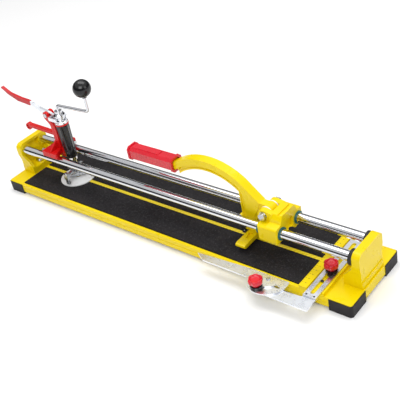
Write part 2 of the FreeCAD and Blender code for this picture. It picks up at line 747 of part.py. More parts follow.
def cutter_frame():
    """The red frame: saddles on both rails, a block between them, and the forked lever post."""
    saddles = []
    for sign, right in ((-1, -256.0), (1, -267.0)):
        saddles.append(prism("xy", [
            (-296.0, sign * 31.0, 2.0), (right, sign * 31.0, 2.0), (-267.0, sign * 7.0),
            (-296.0, sign * 7.0)], 78.0, 88.0))
    block = box(-296.0, -255.0, -8.0, 8.0, 70.5, 88.0)
    px, pz = LEVER_PIVOT
    post = prism("xz", post_outline(), -CHEEK_OUTER, CHEEK_OUTER)
    gussets = []
    for sign in (-1, 1):
        gussets.append(prism("yz", [(sign * 7.0, 84.0), (sign * 28.0, 87.0), (sign * 28.0, 88.5),
                                    (sign * 7.0, 104.0)], POST_LEFT - 0.5, POST_LEFT + 3.5))
    frame = fuse(block, post, *saddles, *gussets)
    tools = [
        box(px - 20, POST_RIGHT + 1, -CHEEK_INNER, CHEEK_INNER, 126.0, pz + 20),
        rod((px, -20, pz), (px, 20, pz), 3.0),
        column_sleeve(0.0),
        rod((-267.0, 22.0, 83.5), (-271.0, 22.0, 83.5), 2.0),
        rod((-296.0, -22.0, 83.5), (-292.0, -22.0, 83.5), 2.0),
    ]
    for sign in (-1, 1):
        y = sign * RAIL_HALF_SPREAD
        tools.append(rod((-310, y, RAIL_HEIGHT), (-230, y, RAIL_HEIGHT), RAIL_RADIUS + RUNNING))
    return cut(frame, *tools)


def clamp_screws():
    """Two screws that nip the saddles on the rails, one at each end."""
    screws = []
    for x, y, way in ((-267.0, 22.0, 1), (-296.0, -22.0, -1)):
        head = rod((x, y, 83.5), (x + way * 7.0, y, 83.5), 3.6)
        shank = rod((x - way * 4.0, y, 83.5), (x, y, 83.5), 2.0)
        screws.append(fuse(head, shank))
    return screws


def squeeze_handle():
    """The fixed lower handle, a bar whose end is rolled over."""
    bar = prism("xz", [(POST_LEFT, 110.5), (POST_LEFT, 116.5), (-350.0, 118.5, 4.0),
                       (-356.0, 112.5), (-340.0, 112.0)], -4.2, 4.2)
    roll = ring((-355.0, -4.2, 113.0), (-355.0, 4.2, 113.0), 7.0, 3.8)
    return fuse(bar, roll)


def lever_pin():
    px, pz = LEVER_PIVOT
    heads = [rod((px, s * CHEEK_OUTER, pz), (px, s * (CHEEK_OUTER + 1.4), pz), 4.2) for s in (-1, 1)]
    return fuse(rod((px, -CHEEK_OUTER, pz), (px, CHEEK_OUTER, pz), 3.0), *heads)


# ---- hole cutter: lever ----
def lever_tang():
    return prism("xz", [(-318.0, 167.2), (-318.0, 170.5), (-350.0, 174.0, 20.0), (-384.0, 179.2),
                        (-384.5, 177.2), (-352.0, 170.6, 20.0)], -1.2, 1.2)


def lever_bar():
    """The flat steel lever: forked round the collar, pivot eye and handle shank."""
    px, pz = LEVER_PIVOT
    low, high = 149.4, 156.2
    bar = prism("xz", [
        (-267.0, low), (-267.0, high), (-272.0, 157.5, 3.0), (px + 2.0, 160.5, 6.0),
        (-303.0, 164.5, 10.0), (-326.0, 172.6), (-326.0, 165.2), (-305.0, 156.5, 10.0),
        (px - 2.0, 148.5, 6.0), (-272.0, low, 3.0),
    ], -2.4, 2.4)
    yoke = box(-269.0, -266.0, -FORK_OUTER, FORK_OUTER, low, high)
    parts = [bar, yoke, lever_tang()]
    for sign in (-1, 1):
        near, far = sorted((sign * FORK_INNER, sign * FORK_OUTER))
        tine = prism("xz", [(-269.0, low), (SPINDLE + 3.4, low, 3.3), (SPINDLE + 3.4, high, 3.3),
                            (-269.0, high)], near, far)
        pin = rod((SPINDLE, sign * 8.8, GROOVE_MIDDLE), (SPINDLE, sign * FORK_INNER, GROOVE_MIDDLE), 2.4)
        parts += [tine, pin]
    return fuse(*parts).cut(rod((px, -20, pz), (px, 20, pz), 3.0 + RUNNING))


def lever_grip():
    """The dipped vinyl sleeve on the lever's handle end."""
    outer = prism("xz", [
        (-326.0, 164.0, 2.0), (-326.0, 173.4, 2.0), (-353.0, 175.0, 30.0), (-382.0, 179.6, 30.0),
        (-402.5, 190.0, 1.2), (-404.0, 187.6, 1.2), (-387.0, 176.4, 30.0), (-362.0, 167.0, 30.0),
    ], -2.8, 2.8)
    return outer.cut(lever_tang())


# ---- hole cutter: column, collar and crank ----
def column_sleeve(bore):
    """The black tapered column that guides the spindle."""
    return turned([(bore, SLEEVE_BOTTOM), (10.0, SLEEVE_BOTTOM), (10.6, SLEEVE_BOTTOM + 1.5),
                   (12.4, SLEEVE_TOP), (bore, SLEEVE_TOP)], SPINDLE, 0)


def column_bush():
    """The bright bush under the column."""
    return ring((SPINDLE, 0, SLEEVE_BOTTOM - 6.5), (SPINDLE, 0, SLEEVE_BOTTOM), 8.6,
                SPINDLE_RADIUS + RUNNING)


def column_ring():
    """The red ring that caps the column."""
    return ring((SPINDLE, 0, SLEEVE_TOP), (SPINDLE, 0, SLEEVE_TOP + 2.5), 12.9, SPINDLE_RADIUS + 0.3)


def lift_collar():
    """The plated collar with the groove that the lever's nose lifts."""
    r = SPINDLE_RADIUS + RUNNING
    low = SLEEVE_TOP + 2.8
    groove, body = 3.4, 10.9
    return turned([(r, low), (12.2, low), (12.2, low + 2.6), (body, low + 3.4),
                   (body, GROOVE_MIDDLE - groove), (8.3, GROOVE_MIDDLE - groove),
                   (8.3, GROOVE_MIDDLE + groove), (body, GROOVE_MIDDLE + groove), (body, 160.0),
                   (8.8, 163.0), (r, 163.0)],
                  SPINDLE, 0)


def crank_spindle():
    """The spindle and the bent crank rod, in one piece with the shoulder on the collar."""
    shaft = rod((SPINDLE, 0, 46.0), (SPINDLE, 0, 163.2), SPINDLE_RADIUS)
    shoulder = rod((SPINDLE, 0, 163.2), (SPINDLE, 0, 168.0), 7.0)
    ex, ey = CRANK_END
    reach = math.hypot(ex - SPINDLE, ey)
    side = V((ex - SPINDLE) / reach, ey / reach, 0)
    bend = 7.0
    start = V(SPINDLE, 0, 166.0)
    corner = V(SPINDLE, 0, CRANK_HEIGHT)
    far = V(ex, ey, CRANK_HEIGHT)
    end = V(ex, ey, 219.0)
    slack = bend * (1 - math.sqrt(0.5))
    path = Part.Wire([
        Part.LineSegment(start, corner - Z * bend).toShape(),
        Part.Arc(corner - Z * bend, corner + side * slack - Z * slack, corner + side * bend).toShape(),
        Part.LineSegment(corner + side * bend, far - side * bend).toShape(),
        Part.Arc(far - side * bend, far - side * slack + Z * slack, far + Z * bend).toShape(),
        Part.LineSegment(far + Z * bend, end).toShape(),
    ])
    circle = Part.Wire([Part.Circle(start, Z, CRANK_RADIUS).toShape()])
    crank = path.makePipeShell([circle], True, False)
    return fuse(shaft, shoulder, crank)


def ball_knob():
    """The black ball that turns on the crank's end."""
    ex, ey = CRANK_END
    ball = Part.makeSphere(BALL_RADIUS, V(ex, ey, BALL_CENTRE))
    neck = rod((ex, ey, BALL_CENTRE - BALL_RADIUS - 1.2), (ex, ey, BALL_CENTRE - 10), 4.4)
    return fuse(ball, neck).cut(rod((ex, ey, 200.0), (ex, ey, 219.6), CRANK_RADIUS + 0.08))


def turned_about_spindle(shape):
    """Turn a shape drawn along +X from the spindle to the trammel's direction."""
    shape.rotate(V(SPINDLE, 0, 0), Z, TRAMMEL_ANGLE)
    return shape


def head_block():
    """The clamp block on the spindle's foot, bored for the trammel bar."""
    block = fuse(
        prism("xy", [(SPINDLE - 9, -8, 2.0), (SPINDLE + 9, -8, 2.0), (SPINDLE + 9, 8, 2.0),
                     (SPINDLE - 9, 8, 2.0)], 37.0, 50.0),
        rod((SPINDLE, 0, 31.0), (SPINDLE, 0, 37.0), 5.0),
    )
    block = cut(
        block,
        box(SPINDLE - 20, SPINDLE + 20, -3.1, 3.1, 40.9, 45.1),
        rod((SPINDLE, 0, 46.0), (SPINDLE, 0, 60.0), SPINDLE_RADIUS),
    )
    return turned_about_spindle(block)


def centre_foot():
    """The flat bar that presses on the tile about the spindle's axis."""
    bar = fuse(
        prism("xy", [(SPINDLE - 17, -3.5, 1.5), (SPINDLE + 17, -3.5, 1.5),
                     (SPINDLE + 17, 3.5, 1.5), (SPINDLE - 17, 3.5, 1.5)], 27.0, 31.0),
        rod((SPINDLE, 0, 24.6), (SPINDLE, 0, 27.0), 3.0),
    )
    bar.rotate(V(SPINDLE, 0, 0), Z, 47.0)
    return bar


def trammel_bar():
    """The bar that sets the radius, sliding through the head block."""
    bar = box(SPINDLE - 20.0, SPINDLE + TRAMMEL_REACH + 4.0, -3.0, 3.0, 41.0, 45.0)
    return turned_about_spindle(bar)


def trammel_leg():
    """The upright wheel holder on the trammel bar's end."""
    x = SPINDLE + TRAMMEL_REACH
    leg = fuse(
        box(x - 4.0, x + 4.0, -4.0, 4.0, 38.0, 48.5),
        box(x - 3.0, x + 3.0, -3.0, 3.0, 27.0, 40.0),
    )
    leg = cut(
        leg,
        box(x - 10, x + 10, -3.0, 3.0, 41.0, 45.0),
        box(x - 1.3, x + 1.3, -10, 10, 20.0, 35.5),
        rod((x - 8, 0, 29.6), (x + 8, 0, 29.6), 1.0),
    )
    return turned_about_spindle(leg)


def trammel_screw():
    """The small screw that locks the leg on the bar."""
    x = SPINDLE + TRAMMEL_REACH
    return turned_about_spindle(fuse(
        rod((x, 0, 45.0), (x, 0, 48.5), 1.5),
        rod((x, 0, 48.5), (x, 0, 50.3), 3.0),
    ))


def leg_holes(leg):
    x = SPINDLE + TRAMMEL_REACH
    return leg.cut(turned_about_spindle(rod((x, 0, 45.0), (x, 0, 48.5), 1.5)))


def circle_axle():
    x = SPINDLE + TRAMMEL_REACH
    return turned_about_spindle(rod((x - 3.4, 0, 29.6), (x + 3.4, 0, 29.6), 1.0))


def circle_wheel():
    """The small wheel that scores the circle."""
    x = SPINDLE + TRAMMEL_REACH
    r = CIRCLE_WHEEL_RADIUS
    wheel = turned([(1.05, -0.9), (r - 1.2, -0.9), (r, -0.12), (r, 0.12), (r - 1.2, 0.9), (1.05, 0.9)],
                   0, 0)
    wheel.rotate(V(0, 0, 0), Y, 90)
    wheel.translate(V(x, 0, 29.6))
    return turned_about_spindle(wheel)


# ---- the whole tool ----
def save_base():
    save("base_tray", base_tray())
    save("rubber_feet", *rubber_feet())
    save("tile_pad_front", tile_pad(-1))
    save("tile_pad_back", tile_pad(1))
    save("breaker_strip", breaker_strip())
    save("protective_disc", protective_disc())


def save_rails():
    save("rail_front", rail(-1))
    save("rail_back", rail(1))
    save("end_bracket_right", end_bracket())
    save("end_bracket_left", mirror_x(end_bracket()))
    save("rail_bumpers", *bumper_rings())
    save("bracket_bolts", *bracket_bolts())


def save_guide():
    save("fence", fence())
    save("slotted_arm", slotted_arm())
    save("front_rule", front_rule().cut(Part.makeCompound([protractor_pivot()])))
    save("guide_rivets", *guide_rivets())
    save("protractor_pivot", protractor_pivot())
    save("protractor_plate", protractor_plate())
    save("mitre_blade", mitre_blade())
    cx, cy = CLAMP
    fx, fy = FENCE_STUD
    rule_top = arm_bottom()
    save("mitre_stud", clamp_stud(cx, cy, rule_top - PLATE, 36.0))
    save("mitre_washer", clamp_washer(cx, cy, protractor_top() + SLIDE_GAP, 29.0, 9.5))
    save("mitre_knob", knob(cx, cy, 29.1))
    save("fence_stud", rod((fx, fy, CHANNEL_FLOOR), (fx, fy, 37.5), STUD_RADIUS))
    save("fence_washer", fence_washer())
    save("fence_knob", knob(fx, fy, 29.3))


def save_carriage():
    save("carriage_body", carriage_body())
    save("rail_bushes", *rail_bushes())
    save("hinge_bolt", hinge_bolt())
    save("hinge_nut", hinge_nut())
    save("hinge_washers", *hinge_washers())


def save_arm():
    save("arm_casting", arm_casting().cut(Part.makeCompound([wheel_screw()] + grip_pins())))
    save("wheel_fork", wheel_fork())
    save("wheel_axle", wheel_axle())
    save("wheel_screw", wheel_screw())
    save("scoring_wheel", scoring_wheel())
    save("grip", grip().cut(Part.makeCompound(grip_pins())))
    save("grip_panel", grip_panel())
    save("grip_pins", *grip_pins())
    save("breaker_foot", breaker_foot())
    save("foot_pin", foot_pin())


def save_hole_cutter():
    save("cutter_frame", cutter_frame())
    save("clamp_screws", *clamp_screws())
    save("squeeze_handle", squeeze_handle())
    save("lever_pin", lever_pin())
    save("lever_bar", lever_bar())
    save("lever_grip", lever_grip())
    save("column_sleeve", column_sleeve(SPINDLE_RADIUS + RUNNING))
    save("column_ring", column_ring())
    save("column_bush", column_bush())
    save("lift_collar", lift_collar())
    save("crank_spindle", crank_spindle())
    save("ball_knob", ball_knob())
    save("head_block", head_block())
    save("centre_foot", centre_foot())
    save("trammel_bar", trammel_bar())
    save("trammel_leg", leg_holes(trammel_leg()))
    save("trammel_screw", trammel_screw())
    save("circle_axle", circle_axle())
    save("circle_wheel", circle_wheel())


os.makedirs("parts", exist_ok=True)
save_base()
save_rails()
save_guide()
save_carriage()
save_arm()
save_hole_cutter()
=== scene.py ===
"""Looks of a manual tile cutter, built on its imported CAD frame. Metres, Z up, +X along the rails."""

import json
import math

import bmesh
import bpy
from mathutils import Matrix, Vector


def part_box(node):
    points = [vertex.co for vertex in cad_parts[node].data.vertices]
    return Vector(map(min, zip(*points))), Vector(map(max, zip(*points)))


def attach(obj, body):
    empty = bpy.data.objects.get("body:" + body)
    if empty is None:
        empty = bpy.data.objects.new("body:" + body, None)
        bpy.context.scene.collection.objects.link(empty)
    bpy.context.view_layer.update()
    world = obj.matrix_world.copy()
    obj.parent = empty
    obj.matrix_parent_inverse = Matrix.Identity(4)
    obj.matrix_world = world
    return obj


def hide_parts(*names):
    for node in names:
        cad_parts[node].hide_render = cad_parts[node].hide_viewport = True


MM = 0.001

# ---- camera: the photograph's viewing angle ----
CAMERA_AZIMUTH = 45.33
CAMERA_ELEVATION = 34.66
CAMERA_ROLL = -12.02
CAMERA_PLACE = Vector((0.81888, -0.71888, 0.78892))
CAMERA_LENS = 69.4

# ---- a colour Mix node's sockets, by index ----
MIX_FACTOR, MIX_FIRST, MIX_SECOND, MIX_RESULT = 0, 6, 7, 2

# ---- softened edges of castings and mouldings: bevel widths in mm ----
SOFT_EDGES = {
    "grip_panel": 0.4, "carriage_body": 1.0, "breaker_foot": 0.7, "base_tray": 0.7,
    "end_bracket_left": 0.8, "end_bracket_right": 0.8, "arm_casting": 0.8, "rubber_feet": 0.7,
    "cutter_frame": 0.8, "squeeze_handle": 1.0, "lever_grip": 1.0, "fence": 0.4,
}
BEVEL_SEGMENTS = 3
BEVEL_ANGLE = 38
WELD_DISTANCE = 0.002 * MM
NORMAL_WEIGHT = 80

# ---- printed scales ----
INK = 0.06 * MM
FENCE_STEP = 5.0 * MM
FENCE_MARKS = (2.6, 1.5)
FENCE_MARK_HALF_WIDTH = 0.22 * MM
FENCE_MARK_INSET = 0.5 * MM
FENCE_DIGIT_INSET = 7.0 * MM
FENCE_DIGIT = 3.6 * MM
RIM = 33.0 * MM
RIM_MARKS = (1.6, 1.0)
RIM_MARK_HALF_WIDTH = 0.14 * MM
RIM_DIGIT_INSET = 3.0 * MM
RIM_DIGIT = 2.1 * MM

# ---- hole cutter's column: radii in mm, places as shares of its height ----
COLUMN_AROUND, COLUMN_ROWS = 160, 90
COLUMN_BORE = 6.1 * MM
COLUMN_RADIUS, COLUMN_TAPER = 10.4, 2.0
COLUMN_LIP_ROWS, COLUMN_LIP = 2.0, 0.5
FLUTES = 6
FLUTE_DEPTH = 1.5 * MM
FLUTE_START, FLUTE_RUN, FLUTE_END = 0.2, 0.14, 0.965
FLUTE_WIDTH = 0.74
FLUTE_ROUNDNESS = 0.6

# ---- clamp knobs ----
KNOB_AROUND = 120
KNOB_LOBES = 6
LOBE_DEPTH = 0.13
# Each point is a share of the radius, a share of the height, and how far the lobes reach.
KNOB_PROFILE = [
    (0.0, 0.68, 0), (0.265, 0.68, 0), (0.265, 0.0, 0), (0.60, 0.0, 0), (0.62, 0.16, 0),
    (0.80, 0.26, 0.5), (0.95, 0.38, 1), (1.0, 0.52, 1), (1.0, 0.80, 1), (0.97, 0.92, 1),
    (0.91, 0.98, 0.9), (0.83, 1.0, 0.6), (0.73, 0.985, 0.2), (0.67, 0.93, 0), (0.63, 0.85, 0),
    (0.55, 0.82, 0), (0.30, 0.81, 0), (0.0, 0.83, 0),
]

SHARP_ANGLE = 50

# ---- stage: floor, lights (place, target, size, watts) and the world's grey levels by height ----
FLOOR_HALF = 6.0
SOFTBOXES = {
    "key": ((0.9, -1.6, 1.7), (0, 0, 0), (1.6, 1.2), 21),
    "top": ((-0.3, 0.5, 2.2), (0, 0, 0), (2.4, 1.2), 28),
    "side": ((2.0, 0.4, 1.0), (0.2, 0, 0), (1.0, 1.0), 6),
}
SKY_STRENGTH = 0.7
SKY_LEVELS = [(0.0, 0.5), (0.04, 0.01), (0.36, 0.01), (0.46, 0.6), (0.58, 1.0), (1.0, 1.0)]

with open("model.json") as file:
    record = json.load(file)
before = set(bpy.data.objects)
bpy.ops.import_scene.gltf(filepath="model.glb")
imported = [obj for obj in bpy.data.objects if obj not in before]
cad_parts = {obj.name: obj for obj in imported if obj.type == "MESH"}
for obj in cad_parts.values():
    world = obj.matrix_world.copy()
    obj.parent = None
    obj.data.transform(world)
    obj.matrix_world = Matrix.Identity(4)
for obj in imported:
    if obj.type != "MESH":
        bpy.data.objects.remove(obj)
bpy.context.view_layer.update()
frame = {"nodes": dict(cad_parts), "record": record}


# ---- materials ----
class Finish:
    """A Principled material with helpers that add what varies over its surface."""

    def __init__(self, name, **values):
        self.material = bpy.data.materials.new(name)
        self.material.use_nodes = True
        self.tree = self.material.node_tree
        self.shader = self.tree.nodes["Principled BSDF"]
        for socket, value in values.items():
            self.shader.inputs[socket.replace("_", " ")].default_value = value
        self.bumps = None
        coordinates = self.tree.nodes.new("ShaderNodeTexCoord")
        self.place = coordinates.outputs["Object"]

    def add(self, kind, **inputs):
        node = self.tree.nodes.new(kind)
        for socket, value in inputs.items():
            target = node.inputs[socket.replace("_", " ")]
            if hasattr(value, "links"):
                self.tree.links.new(value, target)
            else:
                target.default_value = value
        return node

    def stretched(self, stretch=(1, 1, 1), turn=(0, 0, 0)):
        node = self.add("ShaderNodeMapping", Vector=self.place)
        node.inputs["Scale"].default_value = stretch
        node.inputs["Rotation"].default_value = [math.radians(a) for a in turn]
        return node.outputs["Vector"]

    def noise(self, scale, detail=3.0, stretch=(1, 1, 1)):
        return self.add("ShaderNodeTexNoise", Vector=self.stretched(stretch), Scale=scale,
                        Detail=detail).outputs["Fac"]

    def bands(self, scale, turn):
        node = self.add("ShaderNodeTexWave", Vector=self.stretched((1, 1, 1), turn), Scale=scale,
                        Distortion=0.0)
        node.bands_direction = "X"
        return node.outputs["Fac"]

    def spread(self, value, low, high, start=0.3, end=0.7):
        node = self.add("ShaderNodeMapRange", Value=value)
        node.inputs["From Min"].default_value = start
        node.inputs["From Max"].default_value = end
        node.inputs["To Min"].default_value = low
        node.inputs["To Max"].default_value = high
        return node.outputs["Result"]

    def blend(self, value, first, second):
        node = self.tree.nodes.new("ShaderNodeMix")
        node.data_type = "RGBA"
        self.tree.links.new(value, node.inputs[MIX_FACTOR])
        for socket, colour in ((node.inputs[MIX_FIRST], first), (node.inputs[MIX_SECOND], second)):
            if hasattr(colour, "links"):
                self.tree.links.new(colour, socket)
            else:
                socket.default_value = (*colour, 1)
        return node.outputs[MIX_RESULT]

    def set(self, socket, value):
        self.tree.links.new(value, self.shader.inputs[socket])

    def bump(self, value, height, strength=1.0):
        node = self.add("ShaderNodeBump", Height=value, Distance=height, Strength=strength)
        if self.bumps is not None:
            self.tree.links.new(self.bumps, node.inputs["Normal"])
        self.bumps = node.outputs["Normal"]
        self.set("Normal", self.bumps)


def enamel(name, colour, shade, roughness):
    """Sprayed enamel: a faint orange peel, slow drifts of tone, and slightly uneven gloss."""
    f = Finish(name, Coat_Weight=0.08, Coat_Roughness=0.10, Specular_IOR_Level=0.25)
    drift = f.spread(f.noise(9.0, 2.0), 0, 1)
    f.set("Base Color", f.blend(drift, colour, shade))
    f.set("Roughness", f.spread(f.noise(60.0), roughness - 0.05, roughness + 0.07))
    f.bump(f.noise(650.0, 2.0), 0.03 * MM, 0.35)
    f.bump(f.noise(120.0, 2.0), 0.05 * MM, 0.3)
    return f.material


def moulded(name, colour, shade, roughness, grain=900.0, depth=0.04, gloss=0.45, coat=0.0):
    """Moulded plastic or rubber: fine grain and faint flow marks."""
    f = Finish(name, Specular_IOR_Level=gloss, Coat_Weight=coat, Coat_Roughness=0.08)
    f.set("Base Color", f.blend(f.spread(f.noise(35.0, 4.0), 0, 1), colour, shade))
    f.set("Roughness", f.spread(f.noise(90.0), roughness - 0.06, roughness + 0.06))
    f.bump(f.noise(grain, 2.0), depth * MM, 0.5)
    return f.material


def pad_rubber():
    """Anthracite pads with a light speckle and a pebbled grain."""
    f = Finish("pad_rubber", Specular_IOR_Level=0.2)
    mottle = f.blend(f.spread(f.noise(25.0, 5.0), 0, 1), (0.011, 0.010, 0.011), (0.020, 0.018, 0.020))
    speckle = f.spread(f.noise(520.0, 3.0), 0, 1, 0.56, 0.74)
    f.set("Base Color", f.blend(speckle, mottle, (0.06, 0.056, 0.06)))
    f.set("Roughness", f.spread(f.noise(180.0), 0.62, 0.82))
    f.bump(f.noise(700.0, 4.0), 0.18 * MM, 0.7)
    return f.material


def metal(name, colour, shade, roughness, stretch=(1, 1, 1)):
    """Bright metal: slow drifts of tone and faint polishing marks in the gloss."""
    f = Finish(name, Metallic=1.0)
    f.set("Base Color", f.blend(f.spread(f.noise(22.0, 3.0, stretch), 0, 1), colour, shade))
    f.set("Roughness", f.spread(f.noise(90.0, 3.0, stretch), roughness * 0.88, roughness * 1.15))
    return f.material


def strip_paint():
    """Yellow enamel with the diagonal rope-like ribs of the breaking strip, with painted shade (a
    darker yellow) in the troughs between the ribs.
    """
    f = Finish("strip_paint", Coat_Weight=0.3, Coat_Roughness=0.15)
    ribs = f.bands(55.0, (0, 0, 38))
    # Painted shade: the troughs between the ribs get a darker yellow, following the same mask as the
    # bump.
    rib_trough_shade = f.spread(ribs, 0, 1, 0.0, 0.5)
    f.set("Base Color", f.blend(rib_trough_shade, (0.80, 0.56, 0.0), (0.97, 0.78, 0.0)))
    f.set("Roughness", f.spread(f.noise(80.0), 0.28, 0.42))
    f.bump(ribs, 0.25 * MM, 0.7)
    return f.material


FINISHES = {
    "yellow_paint": enamel("yellow_paint", (0.92, 0.71, 0.0), (0.88, 0.66, 0.0), 0.30),
    "red_paint": enamel("red_paint", (0.74, 0.010, 0.010), (0.64, 0.006, 0.006), 0.28),
    "red_plastic": moulded("red_plastic", (0.72, 0.004, 0.022), (0.62, 0.003, 0.016), 0.26,
                           coat=0.3),
    "red_vinyl": moulded("red_vinyl", (0.66, 0.010, 0.014), (0.56, 0.006, 0.010), 0.32, 500.0),
    "black_plastic": moulded("black_plastic", (0.008, 0.008, 0.009), (0.014, 0.014, 0.015), 0.14,
                             700.0, 0.01),
    "white_plastic": moulded("white_plastic", (0.95, 0.95, 0.95), (0.90, 0.91, 0.91), 0.45),
    "teal_plastic": moulded("teal_plastic", (0.02, 0.16, 0.15), (0.015, 0.11, 0.105), 0.45),
    "pad_rubber": pad_rubber(),
    "foot_rubber": moulded("foot_rubber", (0.011, 0.010, 0.012), (0.020, 0.018, 0.021), 0.50,
                           800.0, 0.12, 0.22),
    "black_rubber": moulded("black_rubber", (0.012, 0.012, 0.012), (0.022, 0.021, 0.021), 0.6,
                            900.0, 0.08),
    "chrome_steel": metal("chrome_steel", (0.74, 0.75, 0.78), (0.68, 0.69, 0.73), 0.10,
                          (0.05, 1, 1)),
    "bright_zinc": metal("bright_zinc", (0.62, 0.63, 0.66), (0.52, 0.54, 0.57), 0.24),
    "sheet_steel": metal("sheet_steel", (0.88, 0.89, 0.92), (0.76, 0.80, 0.86), 0.28),
    "carbide": metal("carbide", (0.42, 0.43, 0.45), (0.30, 0.31, 0.33), 0.3),
}
PRINT = moulded("print_black", (0.010, 0.010, 0.010), (0.020, 0.018, 0.016), 0.5)


def dress(obj, finish):
    obj.data.materials.clear()
    obj.data.materials.append(finish)


for part in frame["record"]["subparts"]:
    dress(frame["nodes"][part["node"]], FINISHES[part["material_slot"]])
dress(frame["nodes"]["breaker_strip"], strip_paint())


# ---- softened edges ----
def soften(node, width):
    """Rounds a CAD node's hard edges with modifiers; its mesh and its box stay as they are."""
    obj = frame["nodes"][node]
    weld = obj.modifiers.new("weld", "WELD")
    weld.merge_threshold = WELD_DISTANCE
    bevel = obj.modifiers.new("round", "BEVEL")
    bevel.width = width * MM
    bevel.segments = BEVEL_SEGMENTS
    bevel.limit_method = "ANGLE"
    bevel.angle_limit = math.radians(BEVEL_ANGLE)
    bevel.use_clamp_overlap = True
    obj.modifiers.new("shade", "WEIGHTED_NORMAL").weight = NORMAL_WEIGHT


for node_name, edge in SOFT_EDGES.items():
    soften(node_name, edge)


# ---- mesh helpers ----
def piece(name, mesh, body, finish, smooth=False):
    """Makes an object of a bmesh, dresses it and lets it ride on a body."""
    data = bpy.data.meshes.new(name)
    bmesh.ops.recalc_face_normals(mesh, faces=mesh.faces)
    mesh.to_mesh(data)
    mesh.free()
    for polygon in data.polygons:
        polygon.use_smooth = smooth
    obj = bpy.data.objects.new(name, data)
    bpy.context.scene.collection.objects.link(obj)
    dress(obj, finish)
    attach(obj, body)
    return obj


def add_block(mesh, place, half):
    made = bmesh.ops.create_cube(mesh, size=1.0)
    bmesh.ops.transform(mesh, verts=made["verts"],
                        matrix=place @ Matrix.Diagonal((*[2 * h for h in half], 1)))


def add_digits(mesh, text, place, size):
    """A thin raised number, standing on the surface at a place."""
    curve = bpy.data.curves.new("digits", "FONT")
    curve.body = text
    curve.size = size
    curve.align_x = "CENTER"
    curve.align_y = "CENTER"
    curve.extrude = INK
    curve.resolution_u = 3
    holder = bpy.data.objects.new("digits", curve)
    bpy.context.scene.collection.objects.link(holder)
    bpy.context.view_layer.update()
    shape = bpy.data.meshes.new_from_object(holder.evaluated_get(bpy.context.evaluated_depsgraph_get()))
    shape.transform(place)
    mesh.from_mesh(shape)
    bpy.data.objects.remove(holder)
    bpy.data.meshes.remove(shape)


def add_ring(mesh, centre, z, around, radius_at):
    """A level ring of vertices; radius_at gives its radius at an angle."""
    ring = []
    for i in range(around):
        turn = 2 * math.pi * i / around
        r = radius_at(turn)
        ring.append(mesh.verts.new((centre.x + r * math.cos(turn), centre.y + r * math.sin(turn), z)))
    return ring


def add_lathe(mesh, profile, centre, around=48):
    """A turned solid about a vertical axis, closed at both ends."""
    rings = [add_ring(mesh, centre, z, around, lambda turn, r=radius: r) for radius, z in profile]
    for low, high in zip(rings, rings[1:]):
        for i in range(around):
            mesh.faces.new((low[i], low[i - 1], high[i - 1], high[i]))
    mesh.faces.new(rings[0])
    mesh.faces.new(rings[-1])


# ---- fence: a printed rule along its top ----
def fence_scale():
    low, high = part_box("fence")
    mesh = bmesh.new()
    middle = (low.y + high.y) / 2
    top = high.z + INK / 2
    count = int((high.y - low.y) / 2 / FENCE_STEP) - 1
    for i in range(-count, count + 1):
        length = FENCE_MARKS[i % 2] * MM
        y = middle + i * FENCE_STEP
        add_block(mesh, Matrix.Translation((low.x + FENCE_MARK_INSET + length / 2, y, top)),
                  (length / 2, FENCE_MARK_HALF_WIDTH, INK / 2))
        if i % 2 == 0 and i != 0:
            turn = Matrix.Rotation(math.radians(90), 4, "Z")
            place = Matrix.Translation((low.x + FENCE_DIGIT_INSET, y, high.z)) @ turn
            add_digits(mesh, str(abs(i) // 2), place, FENCE_DIGIT)
    piece("fence_scale", mesh, "base", PRINT)


# ---- protractor: degree marks round its rim ----
def protractor_scale():
    low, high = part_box("protractor_pivot")
    centre = (low + high) / 2
    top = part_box("protractor_plate")[1].z
    mesh = bmesh.new()
    for degrees in range(-165, 0, 5):
        long = degrees % 15 == 0
        length = RIM_MARKS[0 if long else 1] * MM
        turn = Matrix.Rotation(math.radians(degrees), 4, "Z")
        place = Matrix.Translation((centre.x, centre.y, top + INK / 2)) @ turn
        add_block(mesh, place @ Matrix.Translation((RIM - length / 2, 0, 0)),
                  (length / 2, RIM_MARK_HALF_WIDTH, INK / 2))
        if long:
            upright = Matrix.Rotation(math.radians(90), 4, "Z")
            spot = Matrix.Translation((centre.x, centre.y, top)) @ turn
            spot = spot @ Matrix.Translation((RIM - RIM_DIGIT_INSET, 0, 0)) @ upright
            add_digits(mesh, str(abs(degrees + 90)), spot, RIM_DIGIT)
    piece("protractor_scale", mesh, "mitre_rule", PRINT)


# ---- hole cutter: the black column with tapered flutes ----
def flute_cut(share, turn):
    """How deep the flutes cut at a share of the height and an angle."""
    if share > FLUTE_END:
        return 0.0
    start = max(0.0, min(1.0, (share - FLUTE_START) / FLUTE_RUN))
    reach = FLUTE_WIDTH * math.sqrt(max(0.0, 1 - (1 - start) ** 2))
    wave = abs(((turn * FLUTES / (2 * math.pi)) % 1.0) - 0.5) * 2
    if wave >= reach:
        return 0.0
    return FLUTE_DEPTH * (1 - (wave / reach) ** 2) ** FLUTE_ROUNDNESS


def column_radius(share):
    lip = min(1.0, share * COLUMN_ROWS / COLUMN_LIP_ROWS)
    return (COLUMN_RADIUS + COLUMN_TAPER * share) * MM - (1 - lip) * COLUMN_LIP * MM


